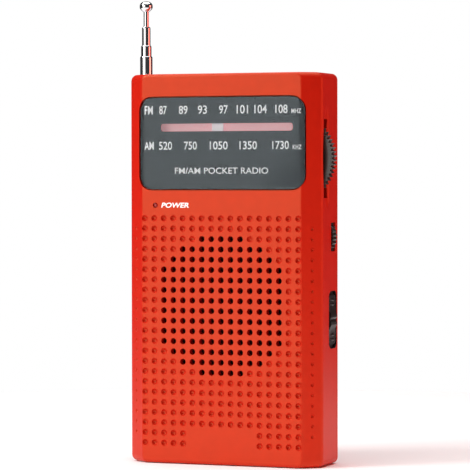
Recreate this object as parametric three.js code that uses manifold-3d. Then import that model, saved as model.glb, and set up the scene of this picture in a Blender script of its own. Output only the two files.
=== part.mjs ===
// Pocket transistor radio with an AM/FM dial, a telescopic aerial and two AA cells.
// Millimetres. +X is the tuning wheel's side, +Y is the back, +Z is up. The case is centred on
// x = 0 and y = 0 and stands on z = 0.
import * as THREE from 'three';
import { mergeVertices } from 'three/addons/utils/BufferGeometryUtils.js';
import Module from 'manifold-3d';

const wasm = await Module();
wasm.setup();

// ---------------------------------------------------------------- driving dimensions

const GAP = 0.3; // working clearance between neighbouring pieces

// Case: a flat front with a two-step bevel down each long edge
const CASE_WIDTH = 62.2;
const CASE_HEIGHT = 118;
const CASE_DEPTH = 22;
const CASE_CORNER_RADIUS = 2;
const SIDE = CASE_WIDTH / 2;
const FRONT = -CASE_DEPTH / 2;
const BACK = CASE_DEPTH / 2;
const WALL = 1.7;
const FRONT_WALL = 2.4;
const FRONT_FLAT_HALF = 25.7;
const BEVEL_MIDDLE = { x: 28.5, depth: 2 };
const BEVEL_DEPTH = 4;
const BACK_FLAT_HALF = 27.4;
const PARTING_Y = 6;

// Sound holes and the speaker behind them
const GRILLE_PITCH = 3.1;
const GRILLE_CENTRE_Z = 47.95;
const GRILLE_ROWS = [5, 9, 11, 13, 13, 13, 13, 13, 13, 13, 13, 11, 9, 5]; // holes in each row
const GRILLE_HOLE_RADIUS = 1;
const SPEAKER_RADIUS = 20;
const MAGNET_RADIUS = 10;

// Dial
const WINDOW = { half: 27, bottom: 82.75, top: 111.2, radius: 4.5 };
const LENS_THICKNESS = 1.05;
const MASK_THICKNESS = 0.3;
const LEDGE_DEPTH = 1.8;
const DIAL_SLOT = { left: -20.05, right: 22.6, bottom: 100.6, top: 102.95 };
const POINTER_WIDTH = 3.6;
const POINTER_REST_X = -2.3;

// Tuning wheel, its cord drum and the dial cord
const TUNING = { x: 21, z: 92.4, radius: 13.2, front: -5.3, thickness: 2.9, teeth: 64 };
const TUNING_OPENING = { front: -5.9, back: -1.2, bottom: 80.5, top: 104.05 };
const TOOTH_DEPTH = 1.1;
const SHAFT_RADIUS = 1.5;
const DRUM_RADIUS = 7.6;
const PULLEY_RADIUS = 2;
const CORD_DIAMETER = 0.6;
const CORD_Y = -1.5;
const PULLEY_Z = 107;
const PULLEY_X = { left: -22, right: 26 };

// Volume wheel
const VOLUME = { x: 24.05, z: 68.7, radius: 8, front: 0.8, thickness: 3, teeth: 40 };
const VOLUME_TOOTH_DEPTH = 0.45;

// Band switch in the right side
const SWITCH = { y: 2, z: 43.8, length: 17.4, width: 7, corner: 2, pocket: 1 };
const SWITCH_KNOB_LENGTH = 14.8;
const SWITCH_STEM = { half: 0.9, reach: 2 };
const SWITCH_TRAVEL = 1.1; // each way from the middle

// Aerial: a fixed sleeve and four sliding sections, numbered from the widest
const AERIAL = { x: -27.2, y: -4, bottom: 39, top: 115.9 };
const AERIAL_SIDES = 12;
const AERIAL_GROOVE_RADIUS = 2.65;
const AERIAL_HOLE_RADIUS = 2.2;
const SECTIONS = [
  { radius: 1.9, bore: 1.72, shown: 5.7 },
  { radius: 1.6, bore: 1.42, shown: 3.3 },
  { radius: 1.3, bore: 0.95, shown: 5.7 },
  { radius: 0.8, bore: 0, shown: 4.6 },
];

// Power supply
const CELL_RADIUS = 7.25;
const CELL_LENGTH = 49.2;
const CELL_NUB = { radius: 2.75, length: 1.3 };
const CELL_Y = 1.5;
const CELL_Z = [10, 24.9];
const TRAY_HALF = 27;
const DOOR = { half: 23.5, bottom: 3.5, top: 33.2, thickness: 1.3 };

// Circuit board and the case screws that clamp it
const BOARD = { front: 6.6, back: 7.8, half: 27.4, bottom: 33.9, top: 115.8 };
const SCREWS = [
  { x: -20.5, z: 113 },
  { x: 26.2, z: 113 },
  { x: -25.5, z: 36.2 },
  { x: 25.5, z: 36.2 },
];
const BOSS_RADIUS = 2.2;
const PILOT_RADIUS = 1.3;
const SCREW_SHANK_RADIUS = 1;
const SCREW_HEAD = { radius: 2, inset: 0.6, thickness: 0.6 };
const SCREW_POINT_Y = -1;
const LED = { x: -21.35, z: 78.26, hole: 0.8 };

// Earphone socket in the left side
const SOCKET = { y: 3, z: 60, opening: 2.3, collar: 2.1, bore: 1.8 };

// ---------------------------------------------------------------- finishes

const finish = (color, roughness, metalness = 0) =>
  new THREE.MeshStandardMaterial({ color, roughness, metalness });

const ORANGE_ABS = finish(0xe2421f, 0.42);
const BLACK_ABS = finish(0x1c1b1b, 0.5);
const CLEAR_ACRYLIC = finish(0x8c8c90, 0.08);
const PRINTED_FILM = finish(0x3c3b3e, 0.35);
const PINK_CARD = finish(0xe2afb2, 0.7);
const WHITE_ABS = finish(0xe9e2ea, 0.4);
const CHROME = finish(0xc9c9cc, 0.12, 1);
const STEEL = finish(0x9a9a9c, 0.35, 1);
const BRASS = finish(0xb08d4a, 0.35, 1);
const CORD = finish(0xd8d2c0, 0.9);
const BOARD_LAMINATE = finish(0x8a6a35, 0.6);
const BLACK_EPOXY = finish(0x222222, 0.6);
const FERRITE = finish(0x2e2d2c, 0.7);
const COPPER_WINDING = finish(0xa3552c, 0.45, 0.6);
const RED_LAMP = finish(0x7a1014, 0.2);
const CONE_PAPER = finish(0x2a2624, 0.9);
const SPEAKER_FABRIC = finish(0x17120f, 0.95);
const CELL_LABEL = finish(0x2b4a8a, 0.4);
const CAPACITOR_SLEEVE = finish(0x1d2a52, 0.4);
const RED_WIRE = finish(0xb02018, 0.5);
const BLACK_WIRE = finish(0x181818, 0.5);

// ---------------------------------------------------------------- shapes

const TO_Y = new THREE.Matrix4().makeRotationX(Math.PI / 2);
const TO_X = new THREE.Matrix4().makeBasis(
  new THREE.Vector3(0, 1, 0), new THREE.Vector3(0, 0, 1), new THREE.Vector3(1, 0, 0),
);

function box(x0, x1, y0, y1, z0, z1) {
  const geometry = new THREE.BoxGeometry(x1 - x0, y1 - y0, z1 - z0);
  return geometry.translate((x0 + x1) / 2, (y0 + y1) / 2, (z0 + z1) / 2);
}

function outline(points) {
  return new THREE.Shape(points.map(([u, v]) => new THREE.Vector2(u, v)));
}

function extrude(shape, depth, curveSegments = 6) {
  return new THREE.ExtrudeGeometry(shape, { depth, bevelEnabled: false, curveSegments });
}

// A plan outline (x, y) raised from z0 to z1
function riseZ(shape, z0, z1, curveSegments) {
  return extrude(shape, z1 - z0, curveSegments).translate(0, 0, z0);
}

// A front outline (x, z) carried from y0 to y1
function runY(shape, y0, y1, curveSegments) {
  return extrude(shape, y1 - y0, curveSegments).applyMatrix4(TO_Y).translate(0, y1, 0);
}

// A side outline (y, z) carried from x0 to x1
function runX(shape, x0, x1, curveSegments) {
  return extrude(shape, x1 - x0, curveSegments).applyMatrix4(TO_X).translate(x0, 0, 0);
}

function roundedRectangle(x0, x1, y0, y1, radius) {
  const shape = new THREE.Shape();
  shape.moveTo(x0 + radius, y0);
  shape.absarc(x1 - radius, y0 + radius, radius, -Math.PI / 2, 0);
  shape.absarc(x1 - radius, y1 - radius, radius, 0, Math.PI / 2);
  shape.absarc(x0 + radius, y1 - radius, radius, Math.PI / 2, Math.PI);
  shape.absarc(x0 + radius, y0 + radius, radius, Math.PI, Math.PI * 1.5);
  return shape;
}

// A profile of [radius, height] pairs turned about an axis, 'x', 'y' or 'z'
function turned(profile, sides, axis) {
  const points = profile.map(([radius, height]) => new THREE.Vector2(radius, height));
  const geometry = new THREE.LatheGeometry(points, sides);
  if (axis === 'z') geometry.rotateX(Math.PI / 2);
  if (axis === 'x') geometry.rotateZ(-Math.PI / 2);
  return geometry;
}

const disc = (radius, from, to) => [[0, from], [radius, from], [radius, to], [0, to]];
const tube = (radius, bore, from, to) =>
  [[bore, from], [radius, from], [radius, to], [bore, to], [bore, from]];

// A rod along y, for holes and posts
function rodY(x, z, radius, y0, y1, sides = 8) {
  return turned(disc(radius, y0, y1), sides, 'y').translate(x, 0, z);
}

// Merges the vertices, drops slivers at the axis and turns every face outwards
function closed(geometry) {
  const bare = new THREE.BufferGeometry();
  bare.setAttribute('position', geometry.getAttribute('position'));
  if (geometry.index) bare.setIndex(geometry.index);
  const merged = mergeVertices(bare, 1e-4);
  const position = merged.getAttribute('position');
  const corner = [0, 1, 2].map(() => new THREE.Vector3());
  const faces = [];
  let volume = 0;
  for (let i = 0; i < merged.index.count; i += 3) {
    const face = [0, 1, 2].map((k) => merged.index.getX(i + k));
    if (new Set(face).size < 3) continue;
    face.forEach((vertex, k) => corner[k].fromBufferAttribute(position, vertex));
    volume += corner[0].dot(corner[1].clone().cross(corner[2]));
    faces.push(face);
  }
  merged.setIndex((volume < 0 ? faces.map(([a, b, c]) => [a, c, b]) : faces).flat());
  return merged;
}

function toManifold(geometry) {
  const solid = closed(geometry);
  return new wasm.Manifold(new wasm.Mesh({
    numProp: 3,
    vertProperties: new Float32Array(solid.getAttribute('position').array),
    triVerts: new Uint32Array(solid.index.array),
  }));
}

function fromManifold(manifold) {
  const mesh = manifold.getMesh();
  const geometry = new THREE.BufferGeometry();
  geometry.setAttribute('position', new THREE.BufferAttribute(mesh.vertProperties, 3));
  geometry.setIndex(new THREE.BufferAttribute(mesh.triVerts, 1));
  return geometry;
}

function combine(operation, first, others) {
  const start = toManifold(first);
  return fromManifold(others.reduce((whole, next) => whole[operation](toManifold(next)), start));
}

const join = (first, ...others) => combine('add', first, others);
const cut = (first, ...tools) => combine('subtract', first, tools);
const overlap = (first, other) => combine('intersect', first, [other]);

// A wire or rod of round section along a smooth route
function wire(route, radius, steps, sides = 6) {
  const section = new THREE.Shape();
  for (let i = 0; i <= sides; i += 1) {
    const angle = (i / sides) * Math.PI * 2;
    const place = [Math.cos(angle) * radius, Math.sin(angle) * radius];
    if (i === 0) section.moveTo(...place);
    else section.lineTo(...place);
  }
  const extrudePath = new THREE.CatmullRomCurve3(route.map((p) => new THREE.Vector3(...p)));
  return new THREE.ExtrudeGeometry(section, { steps, extrudePath, bevelEnabled: false });
}

const radio = new THREE.Group();

function add(name, geometry, material, x = 0, y = 0, z = 0) {
  const mesh = new THREE.Mesh(closed(geometry), material);
  mesh.name = name;
  mesh.position.set(x, y, z);
  radio.add(mesh);
}

// ---------------------------------------------------------------- case

// Front cover: the outer shell, hollowed from behind
function frontShell() {
  const plan = outline([
    [-FRONT_FLAT_HALF, FRONT], [FRONT_FLAT_HALF, FRONT],
    [BEVEL_MIDDLE.x, FRONT + BEVEL_MIDDLE.depth], [SIDE, FRONT + BEVEL_DEPTH],
    [SIDE, PARTING_Y], [-SIDE, PARTING_Y],
    [-SIDE, FRONT + BEVEL_DEPTH], [-BEVEL_MIDDLE.x, FRONT + BEVEL_MIDDLE.depth],
  ]);
  const silhouette = roundedRectangle(-SIDE, SIDE, 0, CASE_HEIGHT, CASE_CORNER_RADIUS);
  const block = overlap(
    riseZ(plan, 0, CASE_HEIGHT), runY(silhouette, FRONT, PARTING_Y, 3),
  );
  const inner = SIDE - WALL;
  const bevelInset = 3.6;
  const frontInside = FRONT + FRONT_WALL;
  const hollow = outline([
    [-FRONT_FLAT_HALF + 0.8, frontInside], [FRONT_FLAT_HALF - 0.8, frontInside],
    [inner, frontInside + bevelInset], [inner, BACK],
    [-inner, BACK], [-inner, frontInside + bevelInset],
  ]);
  return cut(block, riseZ(hollow, WALL, CASE_HEIGHT - WALL));
}

// The sound holes, four-sided here, row by row
function grilleHoles() {
  const holes = [];
  GRILLE_ROWS.forEach((count, row) => {
    const z = GRILLE_CENTRE_Z + ((GRILLE_ROWS.length - 1) / 2 - row) * GRILLE_PITCH;
    for (let i = 0; i < count; i += 1) {
      const x = (i - (count - 1) / 2) * GRILLE_PITCH;
      holes.push(rodY(x, z, GRILLE_HOLE_RADIUS, FRONT - 1, FRONT + FRONT_WALL + 1, 4));
    }
  });
  return holes;
}

function frontCover() {
  const windowShape = roundedRectangle(
    -WINDOW.half, WINDOW.half, WINDOW.bottom, WINDOW.top, WINDOW.radius,
  );
  const opening = 1.2; // the cut behind the printed slot is this much wider all round
  const switchHalf = SWITCH.length / 2;
  const switchPocket = roundedRectangle(
    SWITCH.y - SWITCH.width / 2, SWITCH.y + SWITCH.width / 2,
    SWITCH.z - switchHalf, SWITCH.z + switchHalf, SWITCH.corner,
  );
  const stemHalf = SWITCH_STEM.half + GAP;
  const stemReach = SWITCH_STEM.reach + SWITCH_TRAVEL + GAP;
  const bosses = SCREWS.map(({ x, z }) =>
    rodY(x, z, BOSS_RADIUS, FRONT + FRONT_WALL - 0.5, PARTING_Y));
  const pilots = SCREWS.map(({ x, z }) => rodY(x, z, PILOT_RADIUS, SCREW_POINT_Y - 2, BACK));
  const aerialGroove = turned(
    disc(AERIAL_GROOVE_RADIUS, AERIAL.bottom - 1, AERIAL.top + GAP), AERIAL_SIDES, 'z',
  ).translate(AERIAL.x, AERIAL.y, 0);
  const aerialHole = turned(
    disc(AERIAL_HOLE_RADIUS, AERIAL.top, CASE_HEIGHT + 1), AERIAL_SIDES, 'z',
  ).translate(AERIAL.x, AERIAL.y, 0);
  const earphoneHole = turned(disc(SOCKET.opening, -SIDE - 1, -SIDE + WALL + 1), 12, 'x')
    .translate(0, SOCKET.y, SOCKET.z);
  return cut(
    join(frontShell(), ...bosses),
    ...pilots,
    runY(windowShape, FRONT - 1, FRONT + LEDGE_DEPTH, 5),
    box(
      DIAL_SLOT.left - opening, DIAL_SLOT.right + opening, FRONT, FRONT + FRONT_WALL + 1,
      DIAL_SLOT.bottom - opening, DIAL_SLOT.top + opening,
    ),
    box(
      SIDE - WALL - 1, SIDE + 1, TUNING_OPENING.front, TUNING_OPENING.back,
      TUNING_OPENING.bottom, TUNING_OPENING.top,
    ),
    rodY(
      VOLUME.x, VOLUME.z, VOLUME.radius + 0.5,
      VOLUME.front - 0.5, VOLUME.front + VOLUME.thickness + 0.5, 32,
    ),
    runX(switchPocket, SIDE - SWITCH.pocket, SIDE + 1, 5),
    box(
      SIDE - WALL - 1, SIDE, SWITCH.y - stemHalf, SWITCH.y + stemHalf,
      SWITCH.z - stemReach, SWITCH.z + stemReach,
    ),
    rodY(LED.x, LED.z, LED.hole, FRONT - 1, FRONT + FRONT_WALL + 1),
    aerialGroove, aerialHole, earphoneHole,
    ...grilleHoles(),
  );
}

// Back cover: a shallow tray with counterbored screw posts and the cell door's opening
function backCover() {
  const seam = PARTING_Y + GAP;
  const plan = outline([
    [-SIDE, seam], [SIDE, seam], [BACK_FLAT_HALF, BACK], [-BACK_FLAT_HALF, BACK],
  ]);
  const silhouette = roundedRectangle(-SIDE, SIDE, 0, CASE_HEIGHT, CASE_CORNER_RADIUS);
  const block = overlap(riseZ(plan, 0, CASE_HEIGHT), runY(silhouette, seam, BACK, 3));
  const inside = BACK - WALL;
  const hollow = outline([
    [-SIDE + WALL, seam - 1], [SIDE - WALL, seam - 1],
    [BACK_FLAT_HALF - 0.6, inside], [-BACK_FLAT_HALF + 0.6, inside],
  ]);
  const postFront = BOARD.back + GAP;
  const postRadius = 3;
  const clearance = SCREW_SHANK_RADIUS + 0.4;
  const counterbore = { radius: SCREW_HEAD.radius + 0.4, depth: 1.5 };
  const posts = SCREWS.map(({ x, z }) => rodY(x, z, postRadius, postFront, inside + 0.5));
  const holes = SCREWS.flatMap(({ x, z }) => [
    rodY(x, z, clearance, postFront - 1, BACK + 1),
    rodY(x, z, counterbore.radius, BACK - counterbore.depth, BACK + 1),
  ]);
  return cut(
    join(cut(block, riseZ(hollow, WALL, CASE_HEIGHT - WALL)), ...posts),
    ...holes,
    box(
      -DOOR.half - GAP, DOOR.half + GAP, inside - 0.5, BACK + 1,
      DOOR.bottom - GAP, DOOR.top + GAP,
    ),
  );
}

// Cell door: a plate with a rounded lower edge, two tongues under it and a finger recess
function batteryDoor() {
  const outer = BACK - 0.05;
  const inner = outer - DOOR.thickness;
  const half = DOOR.thickness / 2;
  const plate = new THREE.Shape();
  plate.moveTo(inner, DOOR.top);
  plate.lineTo(inner, DOOR.bottom + half);
  plate.absarc(inner + half, DOOR.bottom + half, half, Math.PI, Math.PI * 2);
  plate.lineTo(outer, DOOR.top);
  const tongue = outline([
    [inner + 0.3, DOOR.bottom + 1.8], [inner + 0.3, DOOR.bottom + 0.8],
    [inner - 0.5, DOOR.bottom + 0.3], [inner - 0.5, DOOR.bottom - 1.2],
    [inner - 1.2, DOOR.bottom - 1.2], [inner - 1.2, DOOR.bottom + 1.8],
  ]);
  const grip = outline([
    [outer + 1, DOOR.top - 2], [outer - 0.7, DOOR.top - 3.2],
    [outer - 0.1, DOOR.top - 8], [outer + 1, DOOR.top - 8],
  ]);
  const tongueX = 15;
  const tongueHalf = 3;
  const gripHalf = 7;
  return cut(
    join(
      runX(plate, -DOOR.half, DOOR.half, 4),
      ...[-tongueX, tongueX].map((x) => runX(tongue, x - tongueHalf, x + tongueHalf)),
    ),
    runX(grip, -gripHalf, gripHalf),
  );
}

add('front_cover', frontCover(), ORANGE_ABS);
add('back_cover', backCover(), ORANGE_ABS);
add('battery_door', batteryDoor(), ORANGE_ABS);

SCREWS.forEach(({ x, z }, i) => {
  const head = BACK - SCREW_HEAD.inset;
  const under = head - SCREW_HEAD.thickness;
  const profile = [
    [0, SCREW_POINT_Y], [SCREW_SHANK_RADIUS, SCREW_POINT_Y], [SCREW_SHANK_RADIUS, under],
    [SCREW_HEAD.radius, under], [SCREW_HEAD.radius, head], [0, head],
  ];
  add(`case_screw_${i + 1}`, turned(profile, 8, 'y'), STEEL, x, 0, z);
});

// ---------------------------------------------------------------- dial

const lensBack = FRONT + LENS_THICKNESS;
const maskFront = lensBack + 0.2;
const backingFront = -6.4;
const pointerFront = -7.7;
const railY = -5;
const railZ = 107.7;

// Lens: flat, with both ends bent back along the case's bevels
function dialLens() {
  const half = WINDOW.half - GAP;
  const slope = BEVEL_MIDDLE.depth / (BEVEL_MIDDLE.x - FRONT_FLAT_HALF);
  const bent = FRONT + (half - FRONT_FLAT_HALF) * slope;
  const plan = outline([
    [-half, bent], [-FRONT_FLAT_HALF, FRONT], [FRONT_FLAT_HALF, FRONT], [half, bent],
    [half, lensBack], [-half, lensBack],
  ]);
  const face = roundedRectangle(
    -half, half, WINDOW.bottom + GAP, WINDOW.top - GAP, WINDOW.radius - GAP,
  );
  return overlap(riseZ(plan, WINDOW.bottom, WINDOW.top), runY(face, FRONT - 1, lensBack + 1, 5));
}

// Scale mask: printed film behind the lens, clear only at the slot
function scaleMask() {
  const half = WINDOW.half - GAP;
  const face = roundedRectangle(
    -half, half, WINDOW.bottom + GAP, WINDOW.top - GAP, WINDOW.radius - GAP,
  );
  const slot = roundedRectangle(
    DIAL_SLOT.left, DIAL_SLOT.right, DIAL_SLOT.bottom, DIAL_SLOT.top, 0.8,
  );
  face.holes.push(slot);
  return runY(face, maskFront, maskFront + MASK_THICKNESS, 4);
}

// Pointer: a blade in the slot, on a carriage that runs on the rail and grips the cord
function dialPointer() {
  const carriageHalf = 1;
  const cordTop = PULLEY_Z + PULLEY_RADIUS;
  return cut(
    join(
      box(-POINTER_WIDTH / 2, POINTER_WIDTH / 2, pointerFront, pointerFront + 0.6, 99.6, 106.8),
      box(-carriageHalf, carriageHalf, pointerFront, -0.6, 106.5, 110.1),
    ),
    turned(disc(0.85, -5, 5), 8, 'x').translate(0, railY, railZ),
    box(-2, 2, CORD_Y - 0.6, CORD_Y + 0.6, 106, cordTop + 0.6),
  );
}

add('dial_lens', dialLens(), CLEAR_ACRYLIC);
add('scale_mask', scaleMask(), PRINTED_FILM);
add('dial_backing', box(-23, 26, backingFront, backingFront + 0.4, 97.5, 105.4), PINK_CARD);
add('dial_pointer', dialPointer(), WHITE_ABS, POINTER_REST_X);
add('pointer_rail', turned(disc(0.5, -24.4, 28.2), 8, 'x'), STEEL, 0, railY, railZ);

// ---------------------------------------------------------------- tuning drive

// A thumbwheel with triangular teeth, extruded from y = 0 to its thickness, with a bore
function thumbwheel({ radius, thickness, teeth }, toothDepth, bore) {
  const points = [];
  for (let i = 0; i < teeth * 2; i += 1) {
    const angle = (i / teeth) * Math.PI;
    const reach = i % 2 ? radius : radius - toothDepth;
    points.push([Math.cos(angle) * reach, Math.sin(angle) * reach]);
  }
  const shape = outline(points);
  const hole = new THREE.Path();
  hole.absarc(0, 0, bore, 0, Math.PI * 2, true);
  shape.holes.push(hole);
  return runY(shape, 0, thickness, 6);
}

const drumFront = TUNING.front + TUNING.thickness + GAP;
const shaftRoom = SHAFT_RADIUS + GAP;
const drumHalf = 0.6;

add('tuning_wheel', thumbwheel(TUNING, TOOTH_DEPTH, shaftRoom), BLACK_ABS,
  TUNING.x, TUNING.front, TUNING.z);

const drumGroove = [
  [shaftRoom, -drumHalf], [DRUM_RADIUS + 0.5, -drumHalf], [DRUM_RADIUS - 0.4, -0.35],
  [DRUM_RADIUS - 0.4, 0.35], [DRUM_RADIUS + 0.5, drumHalf], [shaftRoom, drumHalf],
  [shaftRoom, -drumHalf],
];
add('cord_drum', turned(drumGroove, 24, 'y'), WHITE_ABS, TUNING.x, CORD_Y, TUNING.z);

const tuningShaftFront = TUNING.front + 0.6;
add('tuning_wheel_screw', turned(disc(3, 0, 0.9), 12, 'y'), STEEL,
  TUNING.x, TUNING.front - 1.2, TUNING.z);

const potBack = BOARD.front - GAP;
const tuningPot = [
  [0, tuningShaftFront], [SHAFT_RADIUS, tuningShaftFront], [SHAFT_RADIUS, drumFront + 1.6],
  [7, drumFront + 1.6], [7, potBack], [0, potBack],
];
add('tuning_potentiometer', turned(tuningPot, 16, 'y'), STEEL, TUNING.x, 0, TUNING.z);

const pulleyProfile = [
  [0.9, -drumHalf], [PULLEY_RADIUS + 0.3, -drumHalf], [PULLEY_RADIUS - 0.4, -0.35],
  [PULLEY_RADIUS - 0.4, 0.35], [PULLEY_RADIUS + 0.3, drumHalf], [0.9, drumHalf],
  [0.9, -drumHalf],
];
const pinProfile = [
  [0, -1.2], [1.3, -1.2], [1.3, -0.9], [0.6, -0.9],
  [0.6, potBack - CORD_Y], [0, potBack - CORD_Y],
];
for (const [side, x] of Object.entries(PULLEY_X)) {
  add(`pulley_${side}`, turned(pulleyProfile, 12, 'y'), WHITE_ABS, x, CORD_Y, PULLEY_Z);
  add(`pulley_pin_${side}`, turned(pinProfile, 8, 'y'), STEEL, x, CORD_Y, PULLEY_Z);
}

// The taut loop round the drum and both pulleys: an arc on each wheel, joined by its tangents
function cordLoop(offset) {
  const wheels = [
    { x: TUNING.x, z: TUNING.z, r: DRUM_RADIUS + offset },
    { x: PULLEY_X.right, z: PULLEY_Z, r: PULLEY_RADIUS + offset },
    { x: PULLEY_X.left, z: PULLEY_Z, r: PULLEY_RADIUS + offset },
  ];
  // The angle at which the tangent from one wheel to the next leaves both of them
  const leave = (a, b) => {
    const along = Math.atan2(b.z - a.z, b.x - a.x);
    return along - Math.acos((a.r - b.r) / Math.hypot(b.x - a.x, b.z - a.z));
  };
  const points = [];
  wheels.forEach((wheel, i) => {
    const start = leave(wheels[(i + 2) % 3], wheel);
    let end = leave(wheel, wheels[(i + 1) % 3]);
    while (end < start) end += Math.PI * 2;
    const steps = Math.max(3, Math.ceil(((end - start) / Math.PI) * 12));
    for (let k = 0; k <= steps; k += 1) {
      const angle = start + ((end - start) * k) / steps;
      points.push([wheel.x + Math.cos(angle) * wheel.r, wheel.z + Math.sin(angle) * wheel.r]);
    }
  });
  return points;
}

const cordShape = outline(cordLoop(CORD_DIAMETER / 2));
cordShape.holes.push(outline(cordLoop(-0.1)));
add('dial_cord', runY(cordShape, CORD_Y - 0.2, CORD_Y + 0.2), CORD);

// ---------------------------------------------------------------- volume and band switch

add('volume_wheel', thumbwheel(VOLUME, VOLUME_TOOTH_DEPTH, shaftRoom), BLACK_ABS,
  VOLUME.x, VOLUME.front, VOLUME.z);
add('volume_wheel_screw', turned(disc(2.6, 0, 0.9), 12, 'y'), STEEL,
  VOLUME.x, VOLUME.front - 1.2, VOLUME.z);
const volumeBack = VOLUME.front + VOLUME.thickness + GAP;
const volumePot = [
  [0, VOLUME.front + 0.6], [SHAFT_RADIUS, VOLUME.front + 0.6], [SHAFT_RADIUS, volumeBack],
  [5, volumeBack], [5, potBack], [0, potBack],
];
add('volume_potentiometer', turned(volumePot, 12, 'y'), STEEL, VOLUME.x, 0, VOLUME.z);

// The knob: a low plate with a raised, notched ridge across its middle and a stem behind
function switchKnob() {
  const back = SIDE - SWITCH.pocket + 0.25;
  const face = SIDE - 0.15;
  const half = SWITCH_KNOB_LENGTH / 2;
  const halfWidth = SWITCH.width / 2 - GAP;
  const corner = SWITCH.corner - GAP;
  const plate = runX(
    roundedRectangle(-halfWidth, halfWidth, -half, half, corner), back, face, 4,
  );
  const ridge = new THREE.Shape();
  ridge.moveTo(face - 0.2, -3.2);
  ridge.lineTo(SIDE + 0.45, -1.6);
  ridge.lineTo(SIDE + 0.45, -0.6);
  ridge.lineTo(SIDE - 0.1, 0);
  ridge.lineTo(SIDE + 0.45, 0.6);
  ridge.lineTo(SIDE + 0.45, 1.6);
  ridge.lineTo(face - 0.2, 3.2);
  const ridgeHalf = 2.6;
  const across = runY(ridge, -ridgeHalf, ridgeHalf);
  const { half: stemHalf, reach } = SWITCH_STEM;
  const stem = box(27.4, back + 0.2, -stemHalf, stemHalf, -reach, reach);
  return join(plate, across, stem);
}

add('band_switch_knob', switchKnob(), BLACK_ABS, 0, SWITCH.y, SWITCH.z);
add('band_switch_body', box(21, 27.1, -0.4, potBack, 39, 49), STEEL);

// ---------------------------------------------------------------- power lamp

const lampBody = turned([
  [0, FRONT + 0.15], [0.5, FRONT + 0.15], [0.5, FRONT + FRONT_WALL + 0.3],
  [1.5, FRONT + FRONT_WALL + 0.3], [1.5, -4], [0, -4],
], 12, 'y').translate(LED.x, 0, LED.z);
const lampLegs = [-0.7, 0.7].map((dx) =>
  box(LED.x + dx - 0.25, LED.x + dx + 0.25, -4.5, potBack, LED.z - 0.25, LED.z + 0.25));
add('power_led', join(lampBody, ...lampLegs), RED_LAMP);

// ---------------------------------------------------------------- aerial

const sleeve = { radius: 2.35, bore: 2.1 };
add('antenna_sleeve', turned(tube(sleeve.radius, sleeve.bore, AERIAL.bottom, AERIAL.top),
  AERIAL_SIDES, 'z'), BRASS, AERIAL.x, AERIAL.y);
// Pushed home, every section stands level with the case's top and just clear of the sleeve's foot
let raised = 0;
SECTIONS.forEach(({ radius, bore, shown }, i) => {
  raised += shown;
  const bottom = AERIAL.bottom + 1 + raised;
  const top = CASE_HEIGHT + raised;
  const profile = bore ? tube(radius, bore, bottom, top) : disc(radius, bottom, top);
  add(`antenna_section_${i + 1}`, turned(profile, AERIAL_SIDES, 'z'), CHROME, AERIAL.x, AERIAL.y);
});
const tip = [[0, 0], [0.9, 0], [2, 1.1], [2, 2.2], [1.5, 2.9], [0.8, 3.2], [0, 3.3]];
add('antenna_tip', turned(tip, AERIAL_SIDES, 'z'), CHROME,
  AERIAL.x, AERIAL.y, CASE_HEIGHT + raised + 0.02);

// ---------------------------------------------------------------- speaker

const speakerFront = -8;
const coneBack = -2.6;
add('speaker_cloth', turned(disc(SPEAKER_RADIUS + 1, -8.4, -8.2), 20, 'y'), SPEAKER_FABRIC,
  0, 0, GRILLE_CENTRE_Z);
const basket = [
  [17.9, speakerFront], [SPEAKER_RADIUS, speakerFront], [SPEAKER_RADIUS, -7.4], [18.2, -7.4],
  [11, coneBack], [5, coneBack], [5, coneBack - 0.5], [10.7, coneBack - 0.5],
  [17.9, speakerFront],
];
add('speaker_frame', turned(basket, 20, 'y'), STEEL, 0, 0, GRILLE_CENTRE_Z);
const cone = [[17, -7.95], [17, -7.7], [4, -3.9], [4, -4.15], [17, -7.95]];
add('speaker_cone', turned(cone, 20, 'y'), CONE_PAPER, 0, 0, GRILLE_CENTRE_Z);
const dustCap = [[0, -6.6], [2, -6.3], [3.6, -5.2], [3.6, -4.6], [0, -4.6]];
add('speaker_dust_cap', turned(dustCap, 12, 'y'), CONE_PAPER, 0, 0, GRILLE_CENTRE_Z);
add('speaker_magnet', turned(disc(MAGNET_RADIUS, coneBack + GAP, 1.2), 16, 'y'), STEEL,
  0, 0, GRILLE_CENTRE_Z);

// ---------------------------------------------------------------- circuit board

const boardHoles = SCREWS.map(({ x, z }) => rodY(x, z, 1.6, BOARD.front - 1, BOARD.back + 1));
add('circuit_board', cut(
  box(-BOARD.half, BOARD.half, BOARD.front, BOARD.back, BOARD.bottom, BOARD.top), ...boardHoles,
), BOARD_LAMINATE);

const ferrite = { left: -14, right: 22, y: 2.9, z: 112.3, high: 3, deep: 2.2 };
const barOutline = roundedRectangle(-ferrite.deep, ferrite.deep, -ferrite.high, ferrite.high, 1.5);
add('ferrite_rod', runX(barOutline, ferrite.left, ferrite.right, 2), FERRITE,
  0, ferrite.y, ferrite.z);
const coilOutline = roundedRectangle(-2.9, 2.9, -3.5, 3.5, 1.9);
coilOutline.holes.push(roundedRectangle(-2.5, 2.5, -3.3, 3.3, 1.6));
add('aerial_coil', runX(coilOutline, -12, 2, 2), COPPER_WINDING, 0, ferrite.y, ferrite.z);

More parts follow.
